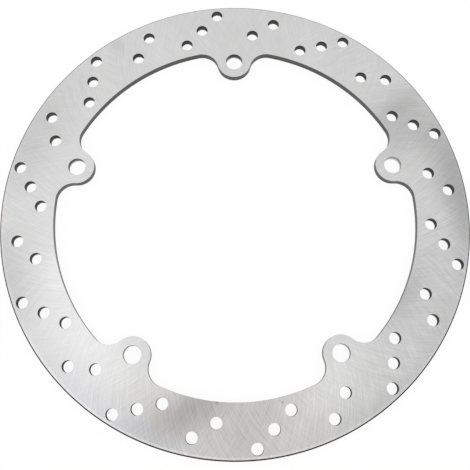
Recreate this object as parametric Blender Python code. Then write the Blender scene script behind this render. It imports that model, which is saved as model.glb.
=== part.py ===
# A motorcycle's front brake disc rotor: one flat ring of ground stainless steel plate.
#
# The plate lies flat. +Z is the wheel's axle and points out of the front face. The origin is
# the disc's centre on its rear face, and one mounting ear points along +Y. Bearings are
# measured counter-clockwise from +X, seen from the front.

import math

import bmesh
import bpy
from mathutils import Matrix, Vector

# Plate, in metres
OUTER_RADIUS = 0.160
INNER_RADIUS = 0.124
THICKNESS = 0.0055
RIM_CHAMFER = 0.0008

# Mounting ears, which reach inward from the ring and carry one bolt hole each
EAR_COUNT = 5
FIRST_EAR_BEARING = math.radians(90)
BOLT_CIRCLE_RADIUS = 0.1155
BOLT_HOLE_RADIUS = 0.006
EAR_RADIUS = 0.012
FILLET_RADIUS = 0.012

# Vent holes, in straight rows that lean inward as their bearing grows. A row of three and a
# row of two make one pattern, which repeats twice for each ear.
VENT_RADIUS = 0.004
ROW_CENTRE_RADIUS = 0.1427
ROW_SLANT = math.radians(38)
ROW_OF_THREE = {"holes": 3, "pitch": 0.01615, "bearing": math.radians(9.4)}
ROW_OF_TWO = {"holes": 2, "pitch": 0.0179, "bearing": math.radians(-8.6)}
PATTERN_COUNT = 2 * EAR_COUNT

# Fineness of the round shapes
RIM_SEGMENTS = 144
BOLT_HOLE_SEGMENTS = 32
VENT_SEGMENTS = 20
EAR_ARC_STEPS = 10
FILLET_ARC_STEPS = 6
INNER_ARC_STEPS = 18
SMOOTH_ANGLE = math.radians(30)

# How far a cutter passes each face of the plate
CUTTER_REACH = 0.003

STEEL_COLOUR = (0.62, 0.62, 0.61, 1)
STEEL_ROUGHNESS = 0.35


def polar(radius, bearing):
    return Vector((radius * math.cos(bearing), radius * math.sin(bearing), 0))


def clear_scene():
    for thing in list(bpy.data.objects):
        bpy.data.objects.remove(thing)


def ground_steel():
    material = bpy.data.materials.new("ground_steel")
    material.use_nodes = True
    shader = material.node_tree.nodes["Principled BSDF"]
    shader.inputs["Base Color"].default_value = STEEL_COLOUR
    shader.inputs["Roughness"].default_value = STEEL_ROUGHNESS
    shader.inputs["Metallic"].default_value = 1
    return material


def add_object(name, bm):
    mesh = bpy.data.meshes.new(name)
    bm.to_mesh(mesh)
    bm.free()
    thing = bpy.data.objects.new(name, mesh)
    bpy.context.scene.collection.objects.link(thing)
    return thing


def add_cutter(name, bm):
    bmesh.ops.recalc_face_normals(bm, faces=bm.faces)
    cutter = add_object(name, bm)
    cutter.hide_render = True
    cutter.display_type = "WIRE"
    return cutter


def turned_blank():
    # a round plate with both rims chamfered
    bm = bmesh.new()
    lift = Matrix.Translation((0, 0, THICKNESS / 2))
    bmesh.ops.create_cone(bm, cap_ends=True, segments=RIM_SEGMENTS, radius1=OUTER_RADIUS,
                          radius2=OUTER_RADIUS, depth=THICKNESS, matrix=lift)
    rims = [edge for edge in bm.edges if edge.verts[0].co.z == edge.verts[1].co.z]
    bmesh.ops.bevel(bm, geom=rims, offset=RIM_CHAMFER, segments=1, profile=0.5,
                    affect="EDGES", material=-1)
    return add_object("brake_disc", bm)


def arc(centre, radius, start, end, steps):
    # points along an arc, without its last one
    sweep = (end - start) / steps
    return [centre + polar(radius, start + sweep * step) for step in range(steps)]


def fillet_bearing():
    # the angle at the disc's centre between an ear's axis and the centre of its fillet
    reach = INNER_RADIUS - FILLET_RADIUS
    gap = EAR_RADIUS + FILLET_RADIUS
    cosine = (reach ** 2 + BOLT_CIRCLE_RADIUS ** 2 - gap ** 2) / (2 * reach * BOLT_CIRCLE_RADIUS)
    return math.acos(cosine)


def ear_outline(axis):
    # counter-clockwise along the opening: fillet, ear, fillet, then the circle to the next ear
    offset = fillet_bearing()
    bolt = polar(BOLT_CIRCLE_RADIUS, axis)
    before = polar(INNER_RADIUS - FILLET_RADIUS, axis - offset)
    after = polar(INNER_RADIUS - FILLET_RADIUS, axis + offset)
    fillet_sweep = (bolt - before).angle(before)
    half_ear_sweep = fillet_sweep - offset
    tip = axis + math.pi
    next_fillet = axis + math.tau / EAR_COUNT - offset
    points = arc(before, FILLET_RADIUS, axis - offset, axis - offset + fillet_sweep,
                 FILLET_ARC_STEPS)
    points += arc(bolt, EAR_RADIUS, tip + half_ear_sweep, tip - half_ear_sweep, EAR_ARC_STEPS)
    points += arc(after, FILLET_RADIUS, axis + offset - fillet_sweep, axis + offset,
                  FILLET_ARC_STEPS)
    points += arc(Vector(), INNER_RADIUS, axis + offset, next_fillet, INNER_ARC_STEPS)
    return points


def centre_opening():
    bm = bmesh.new()
    outline = []
    for ear in range(EAR_COUNT):
        outline += ear_outline(FIRST_EAR_BEARING + ear * math.tau / EAR_COUNT)
    floor = Vector((0, 0, -CUTTER_REACH))
    corners = [bm.verts.new(point + floor) for point in outline]
    face = bm.faces.new(corners)
    extruded = bmesh.ops.extrude_face_region(bm, geom=[face])
    top = [item for item in extruded["geom"] if isinstance(item, bmesh.types.BMVert)]
    bmesh.ops.translate(bm, verts=top, vec=(0, 0, THICKNESS + 2 * CUTTER_REACH))
    return add_cutter("centre_opening", bm)


def drills(name, radius, segments, centres):
    bm = bmesh.new()
    depth = THICKNESS + 2 * CUTTER_REACH
    for centre in centres:
        place = Matrix.Translation(centre + Vector((0, 0, THICKNESS / 2)))
        bmesh.ops.create_cone(bm, cap_ends=True, segments=segments, radius1=radius,
                              radius2=radius, depth=depth, matrix=place)
    return add_cutter(name, bm)


def bolt_holes():
    centres = [polar(BOLT_CIRCLE_RADIUS, FIRST_EAR_BEARING + ear * math.tau / EAR_COUNT)
               for ear in range(EAR_COUNT)]
    return drills("bolt_holes", BOLT_HOLE_RADIUS, BOLT_HOLE_SEGMENTS, centres)


def row_centres(row, ear_bearing):
    # the holes of one slanted row, spread evenly about the row's middle
    bearing = ear_bearing + row["bearing"]
    middle = polar(ROW_CENTRE_RADIUS, bearing)
    along = polar(1, bearing + math.pi / 2 + ROW_SLANT)
    first = (1 - row["holes"]) / 2
    return [middle + along * row["pitch"] * (first + hole) for hole in range(row["holes"])]


def vent_holes():
    centres = []
    for pattern in range(PATTERN_COUNT):
        bearing = FIRST_EAR_BEARING + pattern * math.tau / PATTERN_COUNT
        centres += row_centres(ROW_OF_THREE, bearing)
        centres += row_centres(ROW_OF_TWO, bearing)
    return drills("vent_holes", VENT_RADIUS, VENT_SEGMENTS, centres)


def cut(plate, cutters):
    for cutter in cutters:
        modifier = plate.modifiers.new(cutter.name, "BOOLEAN")
        modifier.operation = "DIFFERENCE"
        modifier.solver = "EXACT"
        modifier.object = cutter
    depsgraph = bpy.context.evaluated_depsgraph_get()
    finished = bpy.data.meshes.new_from_object(plate.evaluated_get(depsgraph))
    plate.modifiers.clear()
    plate.data = finished


def main():
    clear_scene()
    disc = turned_blank()
    cut(disc, [centre_opening(), bolt_holes(), vent_holes()])
    disc.data.shade_smooth()
    disc.data.set_sharp_from_angle(angle=SMOOTH_ANGLE)
    disc.data.materials.clear()
    disc.data.materials.append(ground_steel())


main()
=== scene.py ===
import math

import bmesh
import bpy
from mathutils import Matrix, Vector


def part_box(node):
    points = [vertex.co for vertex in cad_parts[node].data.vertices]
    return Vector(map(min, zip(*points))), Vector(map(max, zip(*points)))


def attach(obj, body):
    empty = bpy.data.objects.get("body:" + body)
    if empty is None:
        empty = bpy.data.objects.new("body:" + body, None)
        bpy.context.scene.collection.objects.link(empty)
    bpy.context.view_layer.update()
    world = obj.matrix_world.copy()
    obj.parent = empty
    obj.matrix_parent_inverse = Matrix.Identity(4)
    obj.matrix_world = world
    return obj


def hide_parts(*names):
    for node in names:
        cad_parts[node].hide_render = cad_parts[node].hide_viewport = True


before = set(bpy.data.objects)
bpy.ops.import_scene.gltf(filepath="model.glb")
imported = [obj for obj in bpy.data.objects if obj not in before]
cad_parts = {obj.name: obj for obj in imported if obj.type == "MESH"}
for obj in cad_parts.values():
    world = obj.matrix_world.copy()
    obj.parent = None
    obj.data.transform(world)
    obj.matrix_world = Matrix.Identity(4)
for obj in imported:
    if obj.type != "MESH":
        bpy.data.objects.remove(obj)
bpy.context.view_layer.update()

# driving sizes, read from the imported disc
discLow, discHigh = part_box("brake_disc")
outerRadius = (discHigh.x - discLow.x) / 2
rearHeight = discLow.z
frontHeight = discHigh.z
thickness = frontHeight - rearHeight
upAxis = Vector((0, 0, 1))
millimetre = outerRadius / 160
flatNormal = 0.999  # a face whose normal is this upright is part of a ground face
samePlace = 0.00001
print("frame read: radius", round(outerRadius, 4), "thickness", round(thickness, 4))


class Number:
    # a number socket; arithmetic on it adds the Math nodes
    def __init__(self, finish, socket):
        self.finish = finish
        self.socket = socket

    def math(self, operation, *terms):
        return self.finish.add("ShaderNodeMath", {"operation": operation}, dict(enumerate(terms)))

    def __add__(self, other):
        return self.math("ADD", self, other)

    def __sub__(self, other):
        return self.math("SUBTRACT", self, other)

    def __rsub__(self, other):
        return self.math("SUBTRACT", other, self)

    def __mul__(self, other):
        return self.math("MULTIPLY", self, other)

    def __truediv__(self, other):
        return self.math("DIVIDE", self, other)

    def __rtruediv__(self, other):
        return self.math("DIVIDE", other, self)

    def __pow__(self, other):
        return self.math("POWER", self, other)

    def __abs__(self):
        return self.math("ABSOLUTE", self)

    __radd__ = __add__
    __rmul__ = __mul__

    def rise(self, low, high):
        # a soft step from 0 at low to 1 at high
        return self.finish.add("ShaderNodeMapRange", {"interpolation_type": "SMOOTHSTEP"},
                               {"Value": self, "From Min": low, "From Max": high})


class Finish:
    # one material and the nodes that make it
    def __init__(self, name):
        self.material = bpy.data.materials.new(name)
        self.material.use_nodes = True
        self.tree = self.material.node_tree
        self.tree.nodes.clear()
        self.place = self.add("ShaderNodeTexCoord", {}, {}, "Object")
        self.x, self.y, self.z = [self.add("ShaderNodeSeparateXYZ", {}, {0: self.place}, axis)
                                  for axis in "XYZ"]

    def add(self, kind, settings, values, output=0):
        # any node: its settings first, then the values or links of its sockets
        node = self.tree.nodes.new(kind)
        for name, setting in settings.items():
            setattr(node, name, setting)
        for name, value in values.items():
            if isinstance(value, Number):
                self.tree.links.new(value.socket, node.inputs[name])
            else:
                node.inputs[name].default_value = value
        return Number(self, node.outputs[output])

    def noise(self, vector, scale, detail, roughness=0.5):
        # soft noise about 0, between -0.5 and 0.5
        return self.add("ShaderNodeTexNoise", {}, {"Vector": vector, "Scale": scale, "Detail": detail,
                                                   "Roughness": roughness}) - 0.5

    def vector(self, x, y, z):
        return self.add("ShaderNodeCombineXYZ", {}, {0: x, 1: y, 2: z})

    def mix(self, share, first, second):
        return self.add("ShaderNodeMix", {"data_type": "RGBA"}, {0: share, 6: first, 7: second}, 2)

    def tinted(self, colour, tone):
        return self.add("ShaderNodeVectorMath", {"operation": "SCALE"}, {0: colour, "Scale": tone})

    def close(self, surface):
        end = self.tree.nodes.new("ShaderNodeOutputMaterial")
        self.tree.links.new(surface.socket, end.inputs["Surface"])
        return self.material


plate = {
    "ears": 5,
    "firstEar": math.radians(90),
    "innerRadius": 0.775 * outerRadius,
    "boltCircleRadius": 0.7219 * outerRadius,
    "boltHoleRadius": 0.0375 * outerRadius,
    "earRadius": 0.075 * outerRadius,
    "filletRadius": 0.075 * outerRadius,
    "ventRadius": 0.025 * outerRadius,
    "rowRadius": 0.8919 * outerRadius,
    "rowSlant": math.radians(38),
    "longRow": {"holes": 3, "pitch": 0.1009 * outerRadius, "bearing": math.radians(9.4)},
    "shortRow": {"holes": 2, "pitch": 0.1119 * outerRadius, "bearing": math.radians(-8.6)},
    "rimChamfer": 0.8 * millimetre,
    "openingEdge": 0.1 * millimetre,
    "holeEdge": 0.1 * millimetre,
    "rimSteps": 360,
    "ventSteps": 48,
    "boltSteps": 64,
    "filletSteps": 18,
    "earSteps": 36,
    "ringSteps": 60,
    "chamferSteps": 1,
    "edgeSteps": 3,
    "smoothAngle": math.radians(35),
}


def polar(radius, bearing):
    return Vector((radius * math.cos(bearing), radius * math.sin(bearing), 0))


def wallSection(bm, edgePoint, intoSteel, setBack, steps):
    # an upright section of a cut wall with its two broken edges, from the rear face to the front
    lower, upper = [], []
    for step in range(steps + 1):
        turn = math.pi / 2 * step / steps
        inward = intoSteel * setBack * (1 - math.sin(turn))
        rise = setBack * (1 - math.cos(turn))
        lower.append(bm.verts.new(edgePoint + inward + upAxis * (rearHeight + rise)))
        upper.append(bm.verts.new(edgePoint + inward + upAxis * (frontHeight - rise)))
    section = lower + upper[::-1]
    return section + [bm.edges.new(pair) for pair in zip(section, section[1:])]


def roundWall(radius, side, setBack, edgeSteps, steps):
    # side is 1 round a hole, where the steel is outside the wall, and -1 on the rim
    bm = bmesh.new()
    section = wallSection(bm, polar(radius, 0), polar(side, 0), setBack, edgeSteps)
    bmesh.ops.spin(bm, geom=section, cent=Vector(), axis=upAxis, angle=math.tau, steps=steps,
                   use_merge=True, use_duplicate=False)
    wall = bpy.data.meshes.new("wall")
    bm.to_mesh(wall)
    bm.free()
    return wall


def placeWall(bm, wall, centre):
    placed = wall.copy()
    placed.transform(Matrix.Translation(centre))
    bm.from_mesh(placed)
    bpy.data.meshes.remove(placed)


def openingWall(bm):
    # one section swept round the whole opening, arc after arc: fillet, ear, fillet, ring
    bolt = plate["boltCircleRadius"]
    reach = plate["innerRadius"] - plate["filletRadius"]
    gap = plate["earRadius"] + plate["filletRadius"]
    offset = math.acos((reach ** 2 + bolt ** 2 - gap ** 2) / (2 * reach * bolt))
    filletSweep = (polar(bolt, 0) - polar(reach, -offset)).angle(polar(reach, -offset))
    earSweep = 2 * (filletSweep - offset)
    ringSweep = math.tau / plate["ears"] - 2 * offset
    start = plate["firstEar"] - offset
    section = wallSection(bm, polar(plate["innerRadius"], start), polar(1, start),
                          plate["openingEdge"], plate["edgeSteps"])
    for ear in range(plate["ears"]):
        axis = plate["firstEar"] + ear * math.tau / plate["ears"]
        arcs = [(polar(reach, axis - offset), filletSweep, plate["filletSteps"]),
                (polar(bolt, axis), -earSweep, plate["earSteps"]),
                (polar(reach, axis + offset), filletSweep, plate["filletSteps"]),
                (Vector(), ringSweep, plate["ringSteps"])]
        for centre, sweep, steps in arcs:
            turned = bmesh.ops.spin(bm, geom=section, cent=centre, axis=upAxis, angle=sweep,
                                    steps=steps, use_merge=False, use_duplicate=False)
            section = turned["geom_last"]
    bmesh.ops.remove_doubles(bm, verts=bm.verts, dist=samePlace)


def boltCentres():
    return [polar(plate["boltCircleRadius"], plate["firstEar"] + ear * math.tau / plate["ears"])
            for ear in range(plate["ears"])]


def ventCentres():
    centres = []
    for repeat in range(2 * plate["ears"]):
        for row in (plate["longRow"], plate["shortRow"]):
            bearing = plate["firstEar"] + repeat * math.pi / plate["ears"] + row["bearing"]
            middle = polar(plate["rowRadius"], bearing)
            along = polar(row["pitch"], bearing + math.pi / 2 + plate["rowSlant"])
            first = (1 - row["holes"]) / 2
            centres += [middle + along * (hole + first) for hole in range(row["holes"])]
    return centres


def closeFace(bm, height, facing):
    # fills one flat face between the rim, the opening and all the holes
    edges = [edge for edge in bm.edges if edge.is_boundary
             and all(abs(vert.co.z - height) < samePlace for vert in edge.verts)]
    bmesh.ops.triangle_fill(bm, use_beauty=True, use_dissolve=False, edges=edges, normal=facing)


def makeDisc():
    bm = bmesh.new()
    openingWall(bm)
    rimWall = roundWall(outerRadius, -1, plate["rimChamfer"], plate["chamferSteps"], plate["rimSteps"])
    placeWall(bm, rimWall, Vector())
    boltWall = roundWall(plate["boltHoleRadius"], 1, plate["holeEdge"], plate["edgeSteps"],
                         plate["boltSteps"])
    for centre in boltCentres():
        placeWall(bm, boltWall, centre)
    ventWall = roundWall(plate["ventRadius"], 1, plate["holeEdge"], plate["edgeSteps"],
                         plate["ventSteps"])
    for centre in ventCentres():
        placeWall(bm, ventWall, centre)
    closeFace(bm, frontHeight, upAxis)
    closeFace(bm, rearHeight, -upAxis)
    bmesh.ops.recalc_face_normals(bm, faces=bm.faces)
    for edge in bm.edges:
        # the ground faces end sharply at every wall, so that they stay flat in the light
        flat = [abs(face.normal.z) > flatNormal for face in edge.link_faces]
        edge.smooth = len(set(flat)) == 1 and edge.calc_face_angle(0) < plate["smoothAngle"]
    print("disc: open edges", sum(edge.is_boundary for edge in bm.edges), "faces", len(bm.faces),
          "volume", bm.calc_volume(signed=True))
    mesh = bpy.data.meshes.new("ground_disc")
    bm.to_mesh(mesh)
    bm.free()
    piece = bpy.data.objects.new("ground_disc", mesh)
    bpy.context.scene.collection.objects.link(piece)
    return piece


disc = makeDisc()

groundLook = {
    "tint": (1.0, 0.999, 0.997, 1),
    "tone": 0.62,
    "roughness": 0.36,
    "wheelRadius": 140 * millimetre,
    "markLength": 14 * millimetre,
    "marks": ({"fineness": 50, "strength": 0.05}, {"fineness": 160, "strength": 0.13},
              {"fineness": 340, "strength": 0.28}, {"fineness": 700, "strength": 0.46}),
    "markDepth": 0.004 * millimetre,
    "markGloss": 0.35,
    "leanShift": 7,
    "crossing": 0.55,
    "crossingScale": 18,
    "clouds": 0.10,
    "cloudScale": 30,
    "warmTint": (1.0, 0.962, 0.935, 1),
    "coolTint": (0.985, 0.975, 1.0, 1),
    "plainMarks": 1.2,
    "edgeTone": 0.50,
    "edgeWearScale": 900,
}

# painted sheen and painted shade on the ground face, laid on as tone: the light and dark fans that the
# grinding throws under studio light, darker stretches along the rim, a painted highlight line and a
# painted dark line at the rim's edge, and small darker spots and specks. They stay where they are when
# the light or the viewer moves. Each is at a bearing in degrees and a distance out as a share of the
# disc's radius, with how many degrees and what share of the radius it spreads over. Slant is how many
# degrees its bearing moves for each whole radius further out
paintedSheenShadeAndSpots = [
    {"bearing": 3, "out": 0.985, "turn": 13, "width": 0.075, "slant": 0, "tone": -0.32},
    {"bearing": 15, "out": 0.95, "turn": 9, "width": 0.07, "slant": -30, "tone": -0.12},
    {"bearing": 27, "out": 0.87, "turn": 9.5, "width": 0.24, "slant": -20, "tone": -0.20},
    {"bearing": 8.5, "out": 0.89, "turn": 5, "width": 0.05, "slant": 0, "tone": -0.09},
    {"bearing": 5, "out": 0.92, "turn": 3, "width": 0.015, "slant": 0, "tone": -0.05},
    {"bearing": 34.5, "out": 0.885, "turn": 3.4, "width": 0.11, "slant": 0, "tone": -0.135},
    {"bearing": 60, "out": 0.80, "turn": 18, "width": 0.15, "slant": 0, "tone": 0.03},
    {"bearing": 108, "out": 0.85, "turn": 10, "width": 0.20, "slant": 0, "tone": 0.03},
    {"bearing": 123.5, "out": 0.963, "turn": 2.2, "width": 0.035, "slant": 0, "tone": -0.11},
    {"bearing": 153, "out": 0.97, "turn": 14, "width": 0.12, "slant": 0, "tone": -0.15},
    {"bearing": 167, "out": 0.97, "turn": 9, "width": 0.10, "slant": 0, "tone": -0.06},
    {"bearing": 179, "out": 0.84, "turn": 6, "width": 0.12, "slant": 0, "tone": 0.03},
    {"bearing": 195, "out": 0.985, "turn": 12, "width": 0.09, "slant": 30, "tone": -0.17},
    {"bearing": 199, "out": 0.77, "turn": 11, "width": 0.08, "slant": 0, "tone": 0.12},
    {"bearing": 222, "out": 0.80, "turn": 20, "width": 0.18, "slant": 15, "tone": 0.21},
    {"bearing": 257.5, "out": 0.81, "turn": 8, "width": 0.19, "slant": -55, "tone": -0.325},
    {"bearing": 275, "out": 0.85, "turn": 12, "width": 0.20, "slant": -30, "tone": -0.14},
    {"bearing": 299, "out": 0.79, "turn": 12, "width": 0.12, "slant": -60, "tone": 0.14},
    {"bearing": 304, "out": 0.97, "turn": 14, "width": 0.05, "slant": 0, "tone": -0.09},
    {"bearing": 332, "out": 0.77, "turn": 9, "width": 0.07, "slant": 60, "tone": -0.18},
    {"bearing": 336, "out": 0.92, "turn": 16, "width": 0.20, "slant": 0, "tone": -0.07},
    {"bearing": 322, "out": 0.985, "turn": 26, "width": 0.05, "slant": 0, "tone": -0.06},
    {"bearing": 255, "out": 0.990, "turn": 60, "width": 0.004, "slant": 0, "tone": 0.22},
    {"bearing": 270, "out": 0.9955, "turn": 55, "width": 0.0018, "slant": 0, "tone": -0.60},
    {"bearing": 264, "out": 0.777, "turn": 0.35, "width": 0.005, "slant": 0, "tone": -0.35},
    {"bearing": 283, "out": 0.797, "turn": 0.35, "width": 0.005, "slant": 0, "tone": -0.30},
]
warmPatches = [
    {"bearing": 253, "out": 0.895, "turn": 5, "width": 0.055, "slant": -45, "tone": 1.3},
    {"bearing": 267, "out": 0.87, "turn": 26, "width": 0.25, "slant": 0, "tone": 0.65},
]
coolPatches = [
    {"bearing": 238, "out": 0.96, "turn": 24, "width": 0.035, "slant": 0, "tone": 1.0},
    {"bearing": 215, "out": 0.87, "turn": 20, "width": 0.20, "slant": 0, "tone": 0.20},
]
# where the grinding marks catch the light more or less: painted light in the marks' tone, with their
# gloss and bump made stronger or weaker with it
crispPatches = [
    {"bearing": 266, "out": 0.87, "turn": 26, "width": 0.30, "slant": 0, "tone": 0.75},
    {"bearing": 222, "out": 0.87, "turn": 18, "width": 0.30, "slant": 0, "tone": -0.35},
    {"bearing": 345, "out": 0.87, "turn": 40, "width": 0.30, "slant": 0, "tone": 0.55},
    {"bearing": 95, "out": 0.87, "turn": 45, "width": 0.40, "slant": 0, "tone": -0.35},
]


def grindingMarks(finish, look, lean):
    # noise drawn out along arcs through the disc's centre, which cross the ring leaning to one side
    radius = (finish.x * finish.x + finish.y * finish.y) ** 0.5
    near = radius / (2 * look["wheelRadius"])
    far = (1 - near * near) ** 0.5 / radius
    cosine = finish.x / (2 * look["wheelRadius"]) - lean * finish.y * far
    sine = finish.y / (2 * look["wheelRadius"]) + lean * finish.x * far
    total = 0
    for mark in look["marks"]:
        stretched = finish.vector(cosine * mark["fineness"], sine * mark["fineness"],
                                  radius / look["markLength"] + look["leanShift"] * lean)
        total = total + mark["strength"] * finish.noise(stretched, 1, 2, 0.6)
    return total


def spread(finish, patches, start):
    # adds soft patches to the start: each falls away round the disc and across the ring
    out = (finish.x * finish.x + finish.y * finish.y) ** 0.5 / outerRadius
    turn = finish.y.math("ARCTAN2", finish.y, finish.x)
    total = start
    for patch in patches:
        across = out - patch["out"]
        along = turn - math.radians(patch["bearing"]) - across * math.radians(patch["slant"])
        along = along.math("WRAP", along, math.pi, -math.pi) / math.radians(patch["turn"])
        fall = along * along + across * across / patch["width"] ** 2
        total = total + patch["tone"] * fall.math("EXPONENT", fall * -1)
    return total


def groundFace(look):
    finish = Finish("groundFace")
    # one of the two leans of marks is the stronger, in places
    share = finish.noise(finish.place, look["crossingScale"], 1).rise(-0.12, 0.12)
    marks = grindingMarks(finish, look, 1) * (1 - look["crossing"] * share)
    marks = marks + grindingMarks(finish, look, -1) * (1 - look["crossing"] + look["crossing"] * share)
    # the marks' tone made stronger or weaker by region, as painted light
    marks = marks * spread(finish, crispPatches, look["plainMarks"])
    clouds = finish.noise(finish.place, look["cloudScale"], 3) * look["clouds"]
    # painted sheen and painted shade from the patches, with small darker spots, over random cloudy tone
    tone = spread(finish, paintedSheenShadeAndSpots, 1 + clouds)
    tint = finish.mix(spread(finish, warmPatches, 0), look["tint"], look["warmTint"])
    tint = finish.mix(spread(finish, coolPatches, 0), tint, look["coolTint"])
    bump = finish.add("ShaderNodeBump", {}, {
        "Height": marks, "Distance": look["markDepth"], "Strength": 0.5})
    return finish.close(finish.add("ShaderNodeBsdfPrincipled", {}, {
        "Base Color": finish.tinted(tint, tone * (1 + marks) * look["tone"]), "Metallic": 1.0,
        "Roughness": look["roughness"] + marks * look["markGloss"], "Normal": bump}))


# what all the cut walls share; heights are shares of the thickness, from the rear face
wallLook = {
    "tint": (1.0, 0.99, 0.985),
    "brightest": 0.85,  # steel never sends back all of the light
    "upperHeights": (0.3, 0.8),
    "rearHeights": (0.06, 0.28),
    "stainScale": 60,
    "markDepth": 0.02 * millimetre,
    "markGloss": 0.3,
}

# the cut walls are painted dark, painted shade on the bare steel. Tone is theirs at mid height,
# upperTone is added towards the front face as more painted shade and rearTone at the rear one as
# painted light, and edgeTone is the tone of the two edges, painted darker as painted shade. Across and
# upright draw the marks out, and the listed stretches at the bearings given are brightened with painted
# light, which on the rim are only the chamfers
openingLook = {"name": "cutWall", "tone": 0.100, "edgeTone": 0.05, "edgeStart": 0.88, "edgeSoft": 0.08,
               "upperTone": 0.0, "rearTone": 0.0, "across": 1400, "upright": 120, "marks": 0.6,
               "roughness": 0.5, "sheen": 1.0, "paintedLightOnBody": 1, "paintedLight": [
                   {"bearing": 205, "out": 0.75, "turn": 25, "width": 0.2, "slant": 0, "tone": 1.0},
                   {"bearing": 335, "out": 0.75, "turn": 25, "width": 0.2, "slant": 0, "tone": 0.6}]}
ventLook = {"name": "drilledWall", "tone": 0.095, "edgeTone": 0.05, "edgeStart": 0.85, "edgeSoft": 0.08,
            "upperTone": -0.030, "rearTone": 0.0, "across": 150, "upright": 2500, "marks": 0.5,
            "roughness": 0.5, "sheen": 0.5, "paintedLightOnBody": 1, "paintedLight": [
                {"bearing": 170, "out": 0.88, "turn": 35, "width": 0.3, "slant": 0, "tone": 0.25}]}
boltLook = {"name": "boredWall", "tone": 0.078, "edgeTone": 0.06, "edgeStart": 0.85, "edgeSoft": 0.08,
            "upperTone": -0.04, "rearTone": 0.55, "across": 150, "upright": 2500, "marks": 0.4,
            "roughness": 0.35, "sheen": 0.8, "paintedLightOnBody": 1, "paintedLight": [
                {"bearing": 162, "out": 0.72, "turn": 20, "width": 0.2, "slant": 0, "tone": 0.9},
                {"bearing": 18, "out": 0.72, "turn": 20, "width": 0.2, "slant": 0, "tone": 5.5},
                {"bearing": 270, "out": 0.72, "turn": 50, "width": 0.2, "slant": 0, "tone": 3.0}]}
# the rim's chamfers are painted nearly black by edgeTone, painted shade, and made paler at the top with
# painted light
rimLook = {"name": "rimWall", "tone": 0.09, "edgeTone": 0.006, "edgeStart": 0.69, "edgeSoft": 0.01,
           "upperTone": 0.0, "rearTone": 0.0, "across": 80, "upright": 2200, "marks": 0.5,
           "roughness": 0.45, "sheen": 0.3, "paintedLightOnBody": 0, "paintedLight": [
               {"bearing": 90, "out": 1.0, "turn": 62, "width": 0.2, "slant": 0, "tone": 30.0}]}


def cutWall(look):
    finish = Finish(look["name"])
    height = (finish.z - rearHeight) / thickness
    # the two edges of each wall, painted darker as painted shade
    edge = (abs(height - 0.5) * 2).rise(look["edgeStart"], look["edgeStart"] + look["edgeSoft"])
    stretched = finish.vector(finish.x * look["across"], finish.y * look["across"],
                              finish.z * look["upright"])
    marks = finish.noise(stretched, 1, 3, 0.6) * look["marks"]
    stains = finish.noise(finish.place, wallLook["stainScale"], 2) * look["marks"]
    # painted shade: dark at mid height, darker towards the front face, lighter near the rear face as
    # painted light
    body = look["tone"] + look["upperTone"] * height.rise(*wallLook["upperHeights"])
    body = body + look["rearTone"] * (1 - height.rise(*wallLook["rearHeights"]))
    # painted light: stretches of the wall at the listed bearings made lighter, painted reflection of
    # the room
    paintedLight = spread(finish, look["paintedLight"], 0)
    body = body * (1 - edge) * (1 + paintedLight * look["paintedLightOnBody"])
    tone = (body + look["edgeTone"] * edge * (1 + paintedLight)) * (1 + marks + stains)
    tone = tone.math("MINIMUM", tone, wallLook["brightest"])
    bump = finish.add("ShaderNodeBump", {}, {
        "Height": marks, "Distance": wallLook["markDepth"], "Strength": 0.4})
    return finish.close(finish.add("ShaderNodeBsdfPrincipled", {}, {
        "Base Color": finish.tinted(wallLook["tint"], tone), "Metallic": 1.0,
        "Specular Tint": (look["sheen"],) * 3 + (1,),
        "Roughness": look["roughness"] + marks * wallLook["markGloss"], "Normal": bump}))


def brokenEdge(look):
    # the small rounded edge between the ground face and a hole, bright from the last pass
    finish = Finish("brokenEdge")
    wear = finish.noise(finish.place, look["edgeWearScale"], 2)
    return finish.close(finish.add("ShaderNodeBsdfPrincipled", {}, {
        "Base Color": finish.tinted(look["tint"][:3], look["edgeTone"] * (1 + wear)), "Metallic": 1.0,
        "Roughness": look["roughness"] + wear * 0.2}))


for material in (groundFace(groundLook), cutWall(openingLook), cutWall(ventLook),
                 cutWall(boltLook), cutWall(rimLook), brokenEdge(groundLook)):
    disc.data.materials.append(material)

groundSlot, openingSlot, ventSlot, boltSlot, rimSlot, edgeSlot = range(6)


def slotFor(face):
    # which finish a face gets, from where it is and which way it faces
    middle = face.center
    radius = math.hypot(middle.x, middle.y)
    if abs(face.normal.z) > flatNormal:
        return groundSlot
    if radius > outerRadius - 1.5 * plate["rimChamfer"]:
        return rimSlot
    if abs(face.normal.z) > 0.4:  # a broken edge, but for its steepest step, which the wall keeps
        return edgeSlot
    if radius > plate["innerRadius"] + 2 * plate["openingEdge"]:
        return ventSlot
    if min((middle.xy - centre.xy).length for centre in boltCentres()) < 1.2 * plate["boltHoleRadius"]:
        return boltSlot
    return openingSlot


for face in disc.data.polygons:
    face.material_index = slotFor(face)
print("disc finished:", len(disc.data.polygons), "faces,", len(disc.data.materials), "finishes")

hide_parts("brake_disc")
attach(disc, "root")

stageLook = {
    "floorRadius": 6.0,
    "floorDrop": 0.2 * millimetre,
    "floorWhite": 0.97,
    "floorGlow": 0.93,
    "roomLight": 1.0,
    "boxGlow": 0.20,
    "boxSize": 0.9,
    "boxDistance": 1.3,
    "boxBearing": math.radians(155),
    "boxTilt": math.radians(27),
}


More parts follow.
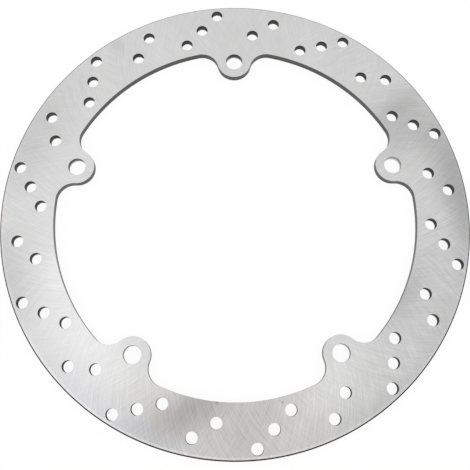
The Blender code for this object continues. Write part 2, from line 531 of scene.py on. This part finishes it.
def paleFloor(look):
    finish = Finish("paleFloor")
    seen = [finish.add("ShaderNodeLightPath", {}, {}, ray)
            for ray in ("Is Camera Ray", "Is Glossy Ray", "Is Transmission Ray")]
    direct = seen[0].math("MAXIMUM", seen[0], seen[1].math("MAXIMUM", seen[1], seen[2]))
    paint = finish.add("ShaderNodeBsdfDiffuse", {}, {"Color": (look["floorWhite"],) * 3 + (1,)})
    glow = finish.add("ShaderNodeEmission", {}, {"Color": (1, 1, 1, 1), "Strength": 1.0})
    return finish.close(finish.add("ShaderNodeMixShader", {}, {
        0: direct * look["floorGlow"], 1: paint, 2: glow}))


def makeFloor(look):
    bm = bmesh.new()
    bmesh.ops.create_circle(bm, cap_ends=True, radius=look["floorRadius"], segments=64)
    bmesh.ops.translate(bm, verts=bm.verts, vec=upAxis * (rearHeight - look["floorDrop"]))
    mesh = bpy.data.meshes.new("floor")
    bm.to_mesh(mesh)
    bm.free()
    mesh.materials.append(paleFloor(look))
    floor = bpy.data.objects.new("floor", mesh)
    bpy.context.scene.collection.objects.link(floor)


def makeLight(look):
    world = bpy.data.worlds.new("studio")
    world.use_nodes = True
    room = world.node_tree.nodes["Background"]
    room.inputs["Color"].default_value = (1, 1, 1, 1)
    room.inputs["Strength"].default_value = look["roomLight"]
    bpy.context.scene.world = world
    lamp = bpy.data.lights.new("softBox", "AREA")
    lamp.size = look["boxSize"]
    lamp.energy = look["boxGlow"] * math.pi * look["boxSize"] ** 2
    softBox = bpy.data.objects.new("softBox", lamp)
    softBox.visible_camera = False
    bpy.context.scene.collection.objects.link(softBox)
    upward = upAxis * math.cos(look["boxTilt"]) + polar(math.sin(look["boxTilt"]), look["boxBearing"])
    softBox.location = upward * look["boxDistance"]
    softBox.rotation_euler = upward.to_track_quat("Z", "Y").to_euler()


makeFloor(stageLook)
makeLight(stageLook)

scene = bpy.context.scene
scene.view_settings.view_transform = "Standard"

lens = {
    "length": 50.88,
    "sensor": 36.0,
    "place": Vector((-0.0287, -0.7748, 2.7270)) * outerRadius + upAxis * frontHeight,
    "turn": (0.247, -0.007, -0.009),
}

cameraData = bpy.data.cameras.new("camera")
cameraData.sensor_width = lens["sensor"]
cameraData.lens = lens["length"]
camera = bpy.data.objects.new("camera", cameraData)
scene.collection.objects.link(camera)
camera.location = lens["place"]
camera.rotation_euler = lens["turn"]
scene.camera = camera
print("stage, light and camera set")
